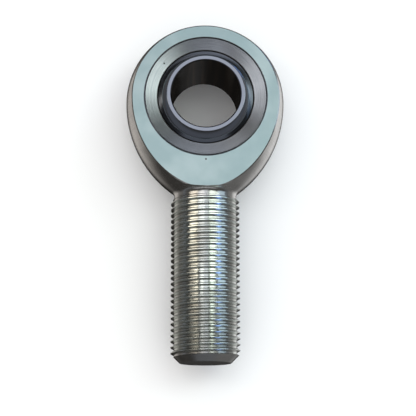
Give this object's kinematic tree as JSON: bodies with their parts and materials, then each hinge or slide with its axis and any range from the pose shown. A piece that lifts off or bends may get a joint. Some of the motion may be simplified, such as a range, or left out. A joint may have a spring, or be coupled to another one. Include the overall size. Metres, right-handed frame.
{
  "type": "rod end bearing",
  "caption": "Male threaded rod end with a bored spherical ball that swivels and tilts in a pressed-in race in an eye-shaped head.",
  "frame": {"origin": "centre of the ball, on the bore axis, midway between the ball's end faces", "axes": "+Z along the ball's bore; the threaded shank points along -Y; +X across the head"},
  "size_m": [0.0444, 0.0952, 0.0222],
  "materials": {
    "plated_body": "bright zinc plated steel, pale blue-grey, milled faces and turned flanks",
    "race_steel": "turned steel with fine concentric tool marks",
    "liner_fabric": "dark woven self-lubricating liner",
    "ball_chrome": "polished hard chrome over bearing steel"
  },
  "bodies": {
    "housing": {"rod_end_body": "plated_body", "outer_race": "race_steel"},
    "liner": {"liner": "liner_fabric"},
    "ball": {"ball": "ball_chrome"}
  },
  "joints": [
    {"name": "swivel", "type": "hinge", "parent": "housing", "child": "liner", "pos_m": [0, 0, 0], "axis": [0, 0, 1], "continuous": true},
    {"name": "misalignment", "type": "hinge", "parent": "liner", "child": "ball", "pos_m": [0, 0, 0], "axis": [1, 0, 0], "range_deg": [-14, 14]}
  ]
}
